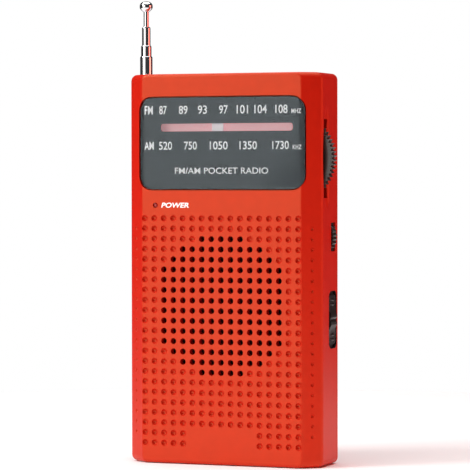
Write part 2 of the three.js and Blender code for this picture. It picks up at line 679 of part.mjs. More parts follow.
const cans = [[-20, 96], [-9, 89], [2, 82]];
cans.forEach(([x, z], i) => {
  const half = 3.5; // 7 mm square screening cans
  add(`coil_can_${i + 1}`, box(x - half, x + half, -0.4, potBack, z - half, z + half), STEEL);
});
const chipBody = box(-16, 4, 3.2, 5.6, 69.5, 75.5);
const chipLegs = [];
const legsPerSide = 8;
const legPitch = 2.54;
for (let i = 0; i < legsPerSide; i += 1) {
  const x = -14.9 + i * legPitch;
  chipLegs.push(box(x - 0.3, x + 0.3, 4.2, potBack, 68.4, 69.8));
  chipLegs.push(box(x - 0.3, x + 0.3, 4.2, potBack, 75.2, 76.6));
}
add('receiver_chip', join(chipBody, ...chipLegs), BLACK_EPOXY);
const capacitors = [[10, 73], [14.5, 80.5], [-20, 85]];
capacitors.forEach(([x, z], i) => {
  add(`capacitor_${i + 1}`, turned(disc(2.5, 0, potBack), 10, 'y'), CAPACITOR_SLEEVE, x, 0, z);
});
const socketBody = box(-29, -19, -0.8, potBack, 56.5, 63.5);
const socketBore = turned(disc(SOCKET.bore, -32, -21), 12, 'x').translate(0, SOCKET.y, SOCKET.z);
const socketCollar = turned(disc(SOCKET.collar, -SIDE + 0.2, -28.5), 12, 'x')
  .translate(0, SOCKET.y, SOCKET.z);
add('earphone_socket', cut(join(socketBody, socketCollar), socketBore), BLACK_ABS);

// ---------------------------------------------------------------- power supply

// Tray: one bent wall that holds both cells and leaves the speaker's rim free
const trayInside = [[7.8, 33], [-2.4, 33], [-6, 26.3], [-6, 2.4], [7.8, 2.4]];
const trayOutside = [[7.8, 2], [-6.5, 2], [-6.5, 26.45], [-2.7, 33.5], [7.8, 33.5]];
add('battery_tray', runX(outline([...trayInside, ...trayOutside]), -TRAY_HALF, TRAY_HALF),
  BLACK_ABS);

// Each cell points the other way; the spring is behind its flat end, the plate at its nub
const cellStart = -23;
const plateX = cellStart + CELL_LENGTH + CELL_NUB.length + GAP;
CELL_Z.forEach((z, i) => {
  const way = i ? -1 : 1;
  const cell = [
    [0, 0], [CELL_RADIUS, 0], [CELL_RADIUS, CELL_LENGTH], [CELL_NUB.radius, CELL_LENGTH],
    [CELL_NUB.radius, CELL_LENGTH + CELL_NUB.length], [0, CELL_LENGTH + CELL_NUB.length],
  ];
  const turnedCell = turned(cell, 16, 'x').translate(cellStart, 0, 0);
  const coil = [];
  const turns = 2.5;
  const steps = 20;
  const wireRadius = 0.3;
  for (let k = 0; k <= steps; k += 1) {
    const share = k / steps;
    const angle = share * turns * Math.PI * 2;
    const radius = 4.2 - share * 1.6;
    coil.push([
      -27.3 + share * 3.6, Math.cos(angle) * radius, Math.sin(angle) * radius,
    ]);
  }
  const spring = wire(coil, wireRadius, steps + 4, 4);
  if (way < 0) [turnedCell, spring].forEach((geometry) => geometry.rotateZ(Math.PI));
  add(`battery_${i + 1}`, turnedCell, CELL_LABEL, 0, CELL_Y, z);
  add(`battery_spring_${i + 1}`, spring, STEEL, 0, CELL_Y, z);
  const plateHalf = 5;
  const plate = box(plateX, plateX + 0.3, -plateHalf, plateHalf, -plateHalf, plateHalf);
  if (way < 0) plate.rotateZ(Math.PI);
  add(`contact_plate_${i + 1}`, plate, STEEL, 0, CELL_Y, z);
});

// Leads: speaker tags to the board, and cell contacts to the board
const LEAD_RADIUS = 0.5;
const leads = {
  speaker_lead_1: [RED_WIRE, [
    [-13, -3.6, 58.5], [-15, 0, 62], [-14, 3.5, 65], [-13, potBack, 66],
  ]],
  speaker_lead_2: [BLACK_WIRE, [
    [-10, -2.6, 59.5], [-11, 0, 63], [-9, 3.5, 66], [-8, potBack, 66.5],
  ]],
  battery_lead_1: [RED_WIRE, [
    [28.75, 1.5, 12], [28.7, 2, 22], [28.5, 3.6, 30], [28.3, 4.8, 38],
    [28.3, 4.8, 50], [26, 5, 55], [22, 5.6, 57], [20, potBack - 0.6, 58],
  ]],
};
for (const [name, [material, route]] of Object.entries(leads)) {
  add(name, wire(route, LEAD_RADIUS, 12), material);
}

export default radio;
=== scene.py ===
"""An AM/FM pocket radio in orange-red ABS, put together on the CAD frame as it is on the bench."""
import math

import bmesh
import bpy
from mathutils import Matrix, Vector


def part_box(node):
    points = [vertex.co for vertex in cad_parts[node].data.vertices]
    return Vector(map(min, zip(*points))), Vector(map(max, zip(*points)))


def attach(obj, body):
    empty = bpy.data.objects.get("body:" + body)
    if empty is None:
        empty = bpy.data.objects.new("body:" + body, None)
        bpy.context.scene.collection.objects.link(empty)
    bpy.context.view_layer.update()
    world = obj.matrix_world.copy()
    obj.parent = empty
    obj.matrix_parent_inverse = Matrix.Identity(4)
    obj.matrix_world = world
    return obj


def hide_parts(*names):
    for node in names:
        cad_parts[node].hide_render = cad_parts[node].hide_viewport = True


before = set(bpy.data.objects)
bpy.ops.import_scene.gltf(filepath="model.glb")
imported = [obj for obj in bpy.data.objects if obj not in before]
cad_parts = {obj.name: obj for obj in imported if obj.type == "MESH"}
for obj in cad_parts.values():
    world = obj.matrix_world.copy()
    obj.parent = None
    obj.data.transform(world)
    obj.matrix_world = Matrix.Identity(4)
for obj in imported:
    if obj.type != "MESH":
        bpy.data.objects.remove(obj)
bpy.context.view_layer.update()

MM = 0.001

# ------------------------------------------------------------------ front cover
# A deep tray moulded in orange-red ABS, spark-eroded to a fine satin. The face carries a square
# grid of marks: 154 of them go through in front of the speaker, the others are shallow dimples.


def linear(hex_colour):
    """An sRGB hex colour as linear RGBA."""
    channels = [int(hex_colour[i:i + 2], 16) / 255 for i in (0, 2, 4)]
    return (*[c / 12.92 if c <= 0.04045 else ((c + 0.055) / 1.055) ** 2.4 for c in channels], 1.0)


def add_node(tree, kind, settings=None, links=None):
    """Adds one node: settings name its sockets or its own fields, links name its input sockets."""
    node = tree.nodes.new(kind)
    for name, value in (settings or {}).items():
        if isinstance(name, str) and hasattr(node, name):
            setattr(node, name, value)
        else:
            node.inputs[name].default_value = value
    for name, output in (links or {}).items():
        tree.links.new(output, node.inputs[name])
    return node


def begin(name, **surface):
    """A material of that name with the Principled shader's fixed sockets set."""
    material = bpy.data.materials.new(name)
    material.use_nodes = True
    tree = material.node_tree
    shader = tree.nodes["Principled BSDF"]
    for socket, value in surface.items():
        shader.inputs[socket.replace("_", " ")].default_value = value
    where = add_node(tree, "ShaderNodeTexCoord").outputs["Object"]
    return material, tree, shader, where


def moulded(name, low, high, grain_mm, gloss=(0.36, 0.46), relief=0.12, cloud_mm=9.0, **surface):
    """A moulded or coated surface: a slow drift of colour, with fine grain in gloss and relief."""
    material, tree, shader, where = begin(name, **surface)
    cloud = add_node(tree, "ShaderNodeTexNoise", {"Scale": 1 / (cloud_mm * MM), "Detail": 3.0},
                     {"Vector": where})
    tint = add_node(tree, "ShaderNodeMix", {"data_type": "RGBA", 6: linear(low), 7: linear(high)},
                    {0: cloud.outputs["Fac"]})
    grain = add_node(tree, "ShaderNodeTexNoise",
                     {"Scale": 1 / (grain_mm * MM), "Detail": 2.0, "Roughness": 0.6},
                     {"Vector": where})
    rough = add_node(tree, "ShaderNodeMapRange", {"To Min": gloss[0], "To Max": gloss[1]},
                     {"Value": grain.outputs["Fac"]})
    bump = add_node(tree, "ShaderNodeBump", {"Strength": relief, "Distance": 0.03 * MM},
                    {"Height": grain.outputs["Fac"]})
    tree.links.new(tint.outputs[2], shader.inputs["Base Color"])
    tree.links.new(rough.outputs["Result"], shader.inputs["Roughness"])
    tree.links.new(bump.outputs["Normal"], shader.inputs["Normal"])
    return material


# Satin ABS: the pigment drifts a little over the part, and the eroded tool leaves a fine grain.
# The grain is really about 0.08 mm; it is drawn at 0.35 mm so that it shows. The pigment warms
# the sheen, which comes back a little yellow.
orange_abs = moulded("orange_satin_abs", "c00c02", "ce1403", 0.35, gloss=(0.36, 0.48),
                     relief=0.4, cloud_mm=3.0, IOR=1.53, Specular_IOR_Level=0.55,
                     Specular_Tint=linear("ffe8a4"))

CORNER_STEPS = 6


def rounded(half, low, high, radius):
    """The points of a rectangle with round corners, in x and z, anticlockwise from the front."""
    points = []
    corners = ((half, low, -90), (half, high, 0), (-half, high, 90), (-half, low, 180))
    for x, z, start in corners:
        centre_x = x - math.copysign(radius, x)
        centre_z = z + radius if z == low else z - radius
        for k in range(CORNER_STEPS + 1):
            angle = math.radians(start + 90 * k / CORNER_STEPS)
            points.append((centre_x + radius * math.cos(angle),
                           centre_z + radius * math.sin(angle)))
    return points


def loft(rings, flat=(), caps=True, ring_closed=False):
    """A mesh through rings of equal length, in mm. Strips named in flat keep hard shading, apart
    from their round corners; every other strip is marked as curved with material index 1."""
    mesh = bmesh.new()
    made = [[mesh.verts.new(Vector(point) * MM) for point in ring] for ring in rings]
    count = len(rings[0])
    pairs = list(zip(made, made[1:] + made[:1])) if ring_closed else list(zip(made, made[1:]))
    for strip, (near, far) in enumerate(pairs):
        for k in range(count):
            face = mesh.faces.new((near[k], near[(k + 1) % count],
                                   far[(k + 1) % count], far[k]))
            along = (near[k].co - near[(k + 1) % count].co).length > 3 * MM
            face.material_index = 0 if strip in flat and along else 1
    if caps and not ring_closed:
        mesh.faces.new(list(reversed(made[0])))
        mesh.faces.new(made[-1])
    bmesh.ops.recalc_face_normals(mesh, faces=mesh.faces)
    return mesh


def rod(centre, axis, profile, steps=24):
    """A solid turned about a line: profile gives [radius, distance along axis] pairs, in mm."""
    turn = Vector(axis).normalized().to_track_quat("Z", "Y").to_matrix()
    origin = Vector(centre)
    rings = [[origin + turn @ Vector((r * math.cos(math.tau * k / steps),
                                      r * math.sin(math.tau * k / steps), d))
              for k in range(steps)] for r, d in profile]
    mesh = loft(rings)
    for face in mesh.faces:
        face.material_index = 1 if len(face.verts) == 4 else 0
    return mesh


def slab(low, high):
    """A plain box between two corners, in mm, for cutting with."""
    mesh = bmesh.new()
    size = [b - a for a, b in zip(low, high)]
    middle = [(a + b) / 2 for a, b in zip(low, high)]
    bmesh.ops.create_cube(mesh, size=1.0, matrix=Matrix.Translation(Vector(middle) * MM)
                          @ Matrix.Diagonal(Vector(size) * MM).to_4x4())
    return mesh


def gather(meshes):
    """Several meshes as one."""
    whole = bmesh.new()
    for mesh in meshes:
        spare = bpy.data.meshes.new("spare")
        mesh.to_mesh(spare)
        whole.from_mesh(spare)
        mesh.free()
        bpy.data.meshes.remove(spare)
    return whole


def as_object(name, mesh):
    """A mesh as a piece in the scene, with a slot each for its flat and its curved faces."""
    data = bpy.data.meshes.new(name)
    mesh.to_mesh(data)
    mesh.free()
    piece = bpy.data.objects.new(name, data)
    bpy.context.scene.collection.objects.link(piece)
    for spare in ("flat", "curved"):
        data.materials.append(None)
    return piece


def combine(piece, tool_mesh, operation="DIFFERENCE"):
    """Joins or cuts the piece with a tool, and keeps only the result."""
    tool = as_object("tool", tool_mesh)
    change = piece.modifiers.new("change", "BOOLEAN")
    change.operation, change.solver, change.object = operation, "MANIFOLD", tool
    depsgraph = bpy.context.evaluated_depsgraph_get()
    result = bpy.data.meshes.new_from_object(piece.evaluated_get(depsgraph))
    piece.modifiers.clear()
    old = piece.data
    piece.data = result
    bpy.data.meshes.remove(old)
    bpy.data.objects.remove(tool)


CUT_EDGE = 40


def finish_piece(piece, material, body, replaced=(), crease=None):
    """Shades curved faces smooth, gives the piece its material and ties it to the frame. Edges
    sharper than CUT_EDGE stay hard, so a cut doesn't bend the shading of the face round it. With a
    crease angle of its own, every face is smooth and that angle decides instead."""
    data = piece.data
    data.set_sharp_from_angle(angle=math.radians(crease or CUT_EDGE))
    for polygon in data.polygons:
        polygon.use_smooth = crease is not None or polygon.material_index == 1
        polygon.material_index = 0
    data.materials.clear()
    data.materials.append(material)
    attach(piece, body)
    if replaced:
        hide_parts(*replaced)
    return piece


def soften(piece, width_mm, segments=2, angle=30):
    """Rounds the piece's edges."""
    bevel = piece.modifiers.new("rounded_edges", "BEVEL")
    bevel.width, bevel.segments = width_mm * MM, segments
    bevel.limit_method, bevel.angle_limit = "ANGLE", math.radians(angle)
    bevel.harden_normals = True
    return piece


cover_low, cover_high = (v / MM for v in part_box("front_cover"))
SIDE, TALL = cover_high.x, cover_high.z
FRONT, SEAM = cover_low.y, cover_high.y
WALL = 1.7


def shell_ring(depth, half, inset, radius):
    """One ring of the case's outside at a depth behind its front."""
    return [(x, FRONT + depth, z) for x, z in rounded(half, inset, TALL - inset, radius)]


# From the flat front, over a soft crease, down the two-step bevel to the side
front_rings = [shell_ring(*ring) for ring in (
    (0.00, 25.45, 0.95, 1.2), (0.05, 25.80, 0.58, 1.5), (0.20, 26.02, 0.28, 1.7),
    (0.42, 26.29, 0.10, 1.9), (0.75, 26.75, 0.0, 2.0),
    (1.90, 28.36, 0, 2), (2.10, 28.62, 0, 2),
    (3.50, 30.44, 0, 2), (3.75, 30.74, 0, 2), (4.10, 30.97, 0, 2), (4.60, SIDE, 0, 2),
    (SEAM - FRONT - 0.25, SIDE, 0, 2), (SEAM - FRONT, SIDE - 0.2, 0.2, 2),
)]
front = as_object("front_cover_shell", loft(front_rings, flat=(4, 5, 6, 10)))

inside = [
    [(x, FRONT + depth, z) for x, z in rounded(half, WALL, TALL - WALL, 0.5)]
    for depth, half in ((2.4, 24.9), (6.0, SIDE - WALL), (20.0, SIDE - WALL))
]
inner_hollow = loft(inside, flat=(0, 1))
for face in inner_hollow.faces:
    face.material_index = 0
combine(front, inner_hollow)

# Openings: the lens's seat, the slot behind it, both wheels, the switch, lamp, aerial and socket
lens_low, lens_high = (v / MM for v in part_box("dial_lens"))
EDGE = 0.3
LENS_CORNER = 4.2


def window(half_more, near, far):
    """The lens's outline, grown by half_more all round, from near to far in y."""
    points = rounded(lens_high.x + half_more, lens_low.z - half_more, lens_high.z + half_more,
                     LENS_CORNER + half_more)
    return loft([[(x, y, z) for x, z in points] for y in (near, far)], flat=(0,))


wheel_low, wheel_high = (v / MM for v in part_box("tuning_wheel"))
wheel_z = (wheel_low.z + wheel_high.z) / 2
volume_low, volume_high = (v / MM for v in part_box("volume_wheel"))
volume_x, volume_z = (volume_low.x + volume_high.x) / 2, (volume_low.z + volume_high.z) / 2
VOLUME_RADIUS = (volume_high.z - volume_low.z) / 2
knob_low, knob_high = (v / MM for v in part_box("band_switch_knob"))
knob_y, knob_z = (knob_low.y + knob_high.y) / 2, (knob_low.z + knob_high.z) / 2
lamp_low, lamp_high = (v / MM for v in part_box("power_led"))
lamp_x, lamp_z = (lamp_low.x + lamp_high.x) / 2, (lamp_low.z + lamp_high.z) / 2
tip_low, tip_high = (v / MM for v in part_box("antenna_tip"))
aerial_x, aerial_y = (tip_low.x + tip_high.x) / 2, (tip_low.y + tip_high.y) / 2
socket_low, socket_high = (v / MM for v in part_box("earphone_socket"))
socket_z = (socket_low.z + socket_high.z) / 2


def side_opening(half_y, half_z, corner, middle_y, middle_z, near_x, far_x):
    """A rectangle with round corners, carried in through the case's side."""
    ring = rounded(half_y, -half_z, half_z, corner)
    return loft([[(x, middle_y + y, middle_z + z) for y, z in ring] for x in (near_x, far_x)],
                flat=(0,))


def scoop(middle, reach):
    """A soft hollow for a fingertip: an ellipsoid cut."""
    mesh = bmesh.new()
    bmesh.ops.create_uvsphere(mesh, u_segments=48, v_segments=32, radius=1.0)
    bmesh.ops.transform(mesh, matrix=Matrix.Translation(Vector(middle) * MM)
                        @ Matrix.Diagonal(Vector(reach) * MM).to_4x4(), verts=mesh.verts)
    for face in mesh.faces:
        face.material_index = 1
    return mesh


# Each opening's ends, or its half width and half length, or its radius
DIAL_SLOT_LEFT, DIAL_SLOT_RIGHT, DIAL_SLOT_LOW, DIAL_SLOT_HIGH = -21.2, 23.8, 99.4, 104.15
TUNING_SLOT_LOW, TUNING_SLOT_HIGH = 80.5, 104.05
TUNING_ROOM_FRONT, TUNING_ROOM_BACK = 0.6, 0.4
VOLUME_ROOM, VOLUME_SLOT = 0.3, 3.6
SWITCH_POCKET, POCKET_DEPTH = (3.5, 8.7, 2.0), 1.0
STEM_HALF_Y, STEM_HALF_Z = 1.2, 3.4
LAMP_HOLE, SLEEVE_HOLE, AERIAL_MOUTH = 0.8, 2.65, 2.2
SLEEVE_FOOT, SLEEVE_LENGTH = 35, 81
SOCKET_HOLE, SOCKET_Y = 2.3, 3
FINGER_SCOOP = (1.5, 3.5, 16.5)
volume_cut = VOLUME_RADIUS + VOLUME_ROOM
openings = [
    slab((DIAL_SLOT_LEFT, FRONT + 1, DIAL_SLOT_LOW),
         (DIAL_SLOT_RIGHT, FRONT + 4, DIAL_SLOT_HIGH)),
    slab((SIDE - 3, wheel_low.y - TUNING_ROOM_FRONT, TUNING_SLOT_LOW),
         (SIDE + 2, wheel_high.y + TUNING_ROOM_BACK, TUNING_SLOT_HIGH)),
    rod((volume_x, volume_low.y - VOLUME_ROOM, volume_z), (0, 1, 0),
        [(volume_cut, 0), (volume_cut, VOLUME_SLOT)], steps=96),
    side_opening(*SWITCH_POCKET, knob_y, knob_z, SIDE - POCKET_DEPTH, SIDE + 1),
    rod((lamp_x, FRONT - 1, lamp_z), (0, 1, 0), [(LAMP_HOLE, 0), (LAMP_HOLE, 5)]),
    rod((aerial_x, aerial_y, SLEEVE_FOOT), (0, 0, 1),
        [(SLEEVE_HOLE, 0), (SLEEVE_HOLE, SLEEVE_LENGTH)], steps=32),
    rod((-SIDE - 1, SOCKET_Y, socket_z), (1, 0, 0), [(SOCKET_HOLE, 0), (SOCKET_HOLE, 4)], steps=32),
]
combine(front, window(EDGE, FRONT - 2, FRONT + 1.8))
for opening in openings:
    combine(front, opening)
combine(front, rod((aerial_x, aerial_y, 100), (0, 0, 1), [(AERIAL_MOUTH, 0), (AERIAL_MOUTH, 20)],
                   steps=32))
combine(front, scoop((SIDE + 0.55, wheel_low.y + 1.9, wheel_z), FINGER_SCOOP))
combine(front, slab((SIDE - 3, knob_y - STEM_HALF_Y, knob_z - STEM_HALF_Z),
                    (SIDE - 0.5, knob_y + STEM_HALF_Y, knob_z + STEM_HALF_Z)))

# The grid: holes where the speaker is, dimples elsewhere and on both bevels
PITCH = 3.1
GRID_MIDDLE = 47.95
HOLE_COUNTS = (5, 9, 11, 13, 13, 13, 13, 13, 13, 13, 13, 11, 9, 5)
HOLE_RADIUS, DIMPLE_RADIUS, DIMPLE_DEPTH = 0.93, 0.96, 0.75
COLUMNS, FIRST_ROW, LAST_ROW = range(-8, 9), -2, 20
MIDDLE_ROW = (len(HOLE_COUNTS) - 1) / 2
BARE_COLUMNS = 4
BEVEL_TILT = math.radians(36.5)
BEVEL_MARK_X, BEVEL_MARK_DEPTH, BEVEL_MARK_SIZE = 28.5, 2.0, 0.55


def dimple(x, y, z, outward, size=1.0):
    """A cutter for a shallow round bowl, about an axis that points out of the surface."""
    profile = [(0.3, -1.0), (0.68, -0.75), (0.92, -0.25), (1.0, 0.0), (1.1, 0.8)]
    return rod((x, y, z), outward, [(DIMPLE_RADIUS * size * across, DIMPLE_DEPTH * size * up)
                                    for across, up in profile], steps=18)


marks = []
for row in range(FIRST_ROW, LAST_ROW + 1):
    z = GRID_MIDDLE + (MIDDLE_ROW - row) * PITCH
    reach = HOLE_COUNTS[row] // 2 if 0 <= row < len(HOLE_COUNTS) else -1
    for column in COLUMNS:
        x = column * PITCH
        if abs(column) <= reach:
            marks.append(rod((x, FRONT - 1, z), (0, 1, 0),
                             [(HOLE_RADIUS, 0), (HOLE_RADIUS, 5)], steps=18))
        elif row < LAST_ROW - 1 or abs(column) >= BARE_COLUMNS:
            marks.append(dimple(x, FRONT, z, (0, -1, 0)))
    if FIRST_ROW < row < LAST_ROW:
        for side in (-1, 1):
            outward = Vector((side * math.sin(BEVEL_TILT), -math.cos(BEVEL_TILT), 0))
            marks.append(dimple(side * BEVEL_MARK_X, FRONT + BEVEL_MARK_DEPTH, z, outward,
                                BEVEL_MARK_SIZE))
combine(front, gather(marks))
finish_piece(front, orange_abs, "case", ["front_cover"])

# ------------------------------------------------------------------ back cover and cell door
# The shallow rear half of the case, held by four screws from behind, and the snap-in door over
# the two cells. Both are moulded in the same ABS; the door's upper edge has a ribbed finger grip.
back_low, back_high = (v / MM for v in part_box("back_cover"))
REAR, BACK_SEAM = back_high.y, back_low.y
door_low, door_high = (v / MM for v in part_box("battery_door"))


def back_ring(y, half, inset, radius):
    """One ring of the rear half's outside."""
    return [(x, y, z) for x, z in rounded(half, inset, TALL - inset, radius)]


back_rings = [back_ring(*ring) for ring in (
    (BACK_SEAM, SIDE - 0.2, 0.2, 2), (BACK_SEAM + 0.25, SIDE - 0.03, 0, 2),
    (BACK_SEAM + 0.6, SIDE - 0.35, 0, 2), (REAR - 0.9, 28.1, 0, 2),
    (REAR - 0.55, 27.8, 0.08, 2), (REAR - 0.25, 27.45, 0.25, 1.9),
    (REAR - 0.06, 27.0, 0.55, 1.7), (REAR, 26.6, 0.9, 1.5),
)]
back = as_object("back_cover_shell", loft(back_rings, flat=(2,)))
back_inside = REAR - WALL
back_hollow = loft([
    [(x, y, z) for x, z in rounded(half, WALL, TALL - WALL, 0.5)]
    for y, half in ((BACK_SEAM - 1, SIDE - WALL), (back_inside, 26.8))
], flat=(0,))
combine(back, back_hollow)
DOOR_GAP, DOOR_FOOT = 0.3, 3.5
door_hole = slab((door_low.x - DOOR_GAP, back_inside - 1, DOOR_FOOT - DOOR_GAP),
                 (door_high.x + DOOR_GAP, REAR + 1, door_high.z + DOOR_GAP))
combine(back, door_hole)
SCREW_HOLE = 1.4
COUNTERBORE = [(2.4, 0), (2.4, 1.2), (2.75, 1.6), (2.75, 3)]
screw_places = []
for number in range(1, 5):
    low, high = (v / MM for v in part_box(f"case_screw_{number}"))
    screw_places.append(((low.x + high.x) / 2, (low.z + high.z) / 2))
for x, z in screw_places:
    post = rod((x, back_inside + 0.5, z), (0, -1, 0), [(3, 0), (2.9, 1.6)], steps=32)
    combine(back, post, "UNION")
    combine(back, rod((x, back_inside - 3, z), (0, 1, 0), [(SCREW_HOLE, 0), (SCREW_HOLE, 6)]))
    combine(back, rod((x, REAR - 1.5, z), (0, 1, 0), COUNTERBORE, steps=40))
finish_piece(back, orange_abs, "case", ["back_cover"])

door_outer = door_high.y
DOOR_THICK = 1.3
door = as_object("battery_door_panel",
                 slab((door_low.x, door_outer - DOOR_THICK, DOOR_FOOT), door_high))
soften(door, 0.4, 3)
grip_top = door_high.z - 2.2
combine(door, scoop((0, door_outer + 2.4, grip_top - 4), (8.5, 3.2, 4)))
RIB_PITCH, RIB_HALF, RIB_REACH = 1.5, 0.3, 5
for rib in range(4):
    rib_z = grip_top - 1.6 - rib * RIB_PITCH
    combine(door, slab((-RIB_REACH, door_outer - 1, rib_z - RIB_HALF),
                       (RIB_REACH, door_outer - 0.12, rib_z + RIB_HALF)), "UNION")
TONGUE_HALF, TONGUE_TOP = 3, 5.3
for tongue_x in (-15, 15):
    combine(door, slab((tongue_x - TONGUE_HALF, door_outer - 2.5, DOOR_FOOT - 1.2),
                       (tongue_x + TONGUE_HALF, door_outer - 1.8, TONGUE_TOP)), "UNION")
    combine(door, slab((tongue_x - TONGUE_HALF, door_outer - 2.4, TONGUE_TOP - 1),
                       (tongue_x + TONGUE_HALF, door_outer - 1.0, TONGUE_TOP)), "UNION")
finish_piece(door, orange_abs, "cell_door", ["battery_door"])

# ------------------------------------------------------------------ case screws
# Four zinc-plated pan-head screws, each with a cross recess, down counterbores in the back.


def metal(name, low, high, streak_mm, gloss, relief=0.06, stretch=(1, 1, 1), **surface):
    """Bare or plated metal: fine marks in gloss, drawn out along the way it was worked."""
    material, tree, shader, where = begin(name, Metallic=1.0, **surface)
    drawn = add_node(tree, "ShaderNodeMapping", {"Scale": stretch}, {"Vector": where})
    marks_seen = add_node(tree, "ShaderNodeTexNoise",
                          {"Scale": 1 / (streak_mm * MM), "Detail": 3.0},
                          {"Vector": drawn.outputs["Vector"]})
    tint = add_node(tree, "ShaderNodeMix", {"data_type": "RGBA", 6: linear(low), 7: linear(high)},
                    {0: marks_seen.outputs["Fac"]})
    rough = add_node(tree, "ShaderNodeMapRange", {"To Min": gloss[0], "To Max": gloss[1]},
                     {"Value": marks_seen.outputs["Fac"]})
    bump = add_node(tree, "ShaderNodeBump", {"Strength": relief, "Distance": 0.02 * MM},
                    {"Height": marks_seen.outputs["Fac"]})
    tree.links.new(tint.outputs[2], shader.inputs["Base Color"])
    tree.links.new(rough.outputs["Result"], shader.inputs["Roughness"])
    tree.links.new(bump.outputs["Normal"], shader.inputs["Normal"])
    return material


# Zinc plate is a slightly blue grey, with a soft sheen.
zinc_plate = metal("zinc_plated_steel", "a6a8ab", "c2c4c7", 0.6, (0.26, 0.38))
SCREW_PROFILE = [(0.6, 0.55), (1.4, 0.6), (1.85, 0.8), (2.0, 1.15), (2.0, 1.25), (1, 1.3), (1, 12)]
for number, (x, z) in enumerate(screw_places, 1):
    head = as_object(f"case_screw_body_{number}",
                     rod((x, REAR, z), (0, -1, 0), SCREW_PROFILE, 32))
    for arm in ((1.1, 0.22), (0.22, 1.1)):
        combine(head, slab((x - arm[0], REAR - 1.15, z - arm[1]), (x + arm[0], REAR, z + arm[1])))
    finish_piece(head, zinc_plate, "case", [f"case_screw_{number}"])

# ------------------------------------------------------------------ dial window
# A clear acrylic lens pressed into its seat, over a film printed near black that leaves one slot
# clear. Behind the slot a white pointer slides in front of a pink strip.


def acrylic(name):
    """Polished clear acrylic: what is behind shows through, and the gloss is a Fresnel film."""
    material, tree, shader, where = begin(name)
    tree.nodes.remove(shader)
    ripple = add_node(tree, "ShaderNodeTexNoise", {"Scale": 1 / (14 * MM), "Detail": 1.0},
                      {"Vector": where})
    bump = add_node(tree, "ShaderNodeBump", {"Strength": 0.05, "Distance": 0.05 * MM},
                    {"Height": ripple.outputs["Fac"]})
    gloss = add_node(tree, "ShaderNodeBsdfGlossy",
                     {"Color": linear("d6e6f2"), "Roughness": 0.13},
                     {"Normal": bump.outputs["Normal"]})
    clear = add_node(tree, "ShaderNodeBsdfTransparent", {"Color": linear("ffffff")})
    film = add_node(tree, "ShaderNodeFresnel", {"IOR": 1.36}, {"Normal": bump.outputs["Normal"]})
    mixed = add_node(tree, "ShaderNodeMixShader", {}, {"Fac": film.outputs["Fac"]})
    tree.links.new(clear.outputs[0], mixed.inputs[1])
    tree.links.new(gloss.outputs[0], mixed.inputs[2])
    tree.links.new(mixed.outputs[0], tree.nodes["Material Output"].inputs["Surface"])
    return material


clear_acrylic = acrylic("polished_clear_acrylic")
# Screen ink on film: near black and nearly matt, so that the window's grey is the lens's sheen.
dark_print = moulded("dark_screen_print", "0d0d0e", "131314", 0.5, gloss=(0.6, 0.7), relief=0.03,
                     Specular_IOR_Level=0.05)
FLAT_HALF, BENT_BACK = 25.0, 0.71
bent_y = FRONT + BENT_BACK
lens_plan = [(-lens_high.x, bent_y), (-FLAT_HALF, FRONT), (FLAT_HALF, FRONT),
             (lens_high.x, bent_y), (lens_high.x, lens_high.y), (-lens_high.x, lens_high.y)]
lens = as_object("dial_lens_clear", loft(
    [[(x, y, z) for x, y in lens_plan] for z in (lens_low.z - 1, lens_high.z + 1)], flat=(0,)))
combine(lens, window(0, FRONT - 1, lens_high.y + 1), "INTERSECT")
finish_piece(lens, clear_acrylic, "case", ["dial_lens"], crease=32)
soften(lens, 0.22, 3, 40)

mask_low, mask_high = (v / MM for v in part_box("scale_mask"))
mask = as_object("scale_mask_film", window(0, mask_low.y, mask_high.y))
SLOT_LEFT, SLOT_RIGHT, SLOT_LOW, SLOT_HIGH = -20.05, 22.6, 100.6, 102.95
slot_middle = (SLOT_LEFT + SLOT_RIGHT) / 2
slot_ring = rounded((SLOT_RIGHT - SLOT_LEFT) / 2, SLOT_LOW, SLOT_HIGH, 0.8)
combine(mask, loft([[(slot_middle + x, y, z) for x, z in slot_ring]
                    for y in (mask_low.y - 1, mask_high.y + 1)], flat=(0,)))
finish_piece(mask, dark_print, "case", ["scale_mask"])

# White screen ink, laid on the film in one thin pass. The weak emission is a painted glow, not a
# lamp: it lifts the figures off the dark film as if they were lit more brightly.
white_ink = moulded("white_screen_ink", "f2f2f2", "ffffff", 0.4, gloss=(0.5, 0.6), relief=0.04,
                    Emission_Color=linear("ffffff"), Emission_Strength=0.12)


def lettering(name, words, left, right, low, high, y, weight=0.013, slant=0.0):
    """A line of printed characters, fitted between four edges, in mm."""
    text = bpy.data.curves.new(name, "FONT")
    text.body, text.offset, text.shear, text.resolution_u = words, weight, slant, 4
    piece = bpy.data.objects.new(name, text)
    bpy.context.scene.collection.objects.link(piece)
    depsgraph = bpy.context.evaluated_depsgraph_get()
    depsgraph.update()
    data = bpy.data.meshes.new_from_object(piece.evaluated_get(depsgraph))
    bpy.data.objects.remove(piece)
    xs = [v.co.x for v in data.vertices]
    ys = [v.co.y for v in data.vertices]
    wide, tall = (right - left) / (max(xs) - min(xs)), (high - low) / (max(ys) - min(ys))
    for v in data.vertices:
        v.co = Vector((left + (v.co.x - min(xs)) * wide, y, low + (v.co.y - min(ys)) * tall)) * MM
    thick = bmesh.new()
    thick.from_mesh(data)
    bpy.data.meshes.remove(data)
    bmesh.ops.remove_doubles(thick, verts=thick.verts, dist=1e-7)
    bmesh.ops.solidify(thick, geom=thick.faces[:], thickness=0.03 * MM)
    for face in thick.faces:
        face.material_index = 0
    return finish_piece(as_object(name, thick), white_ink, "case")


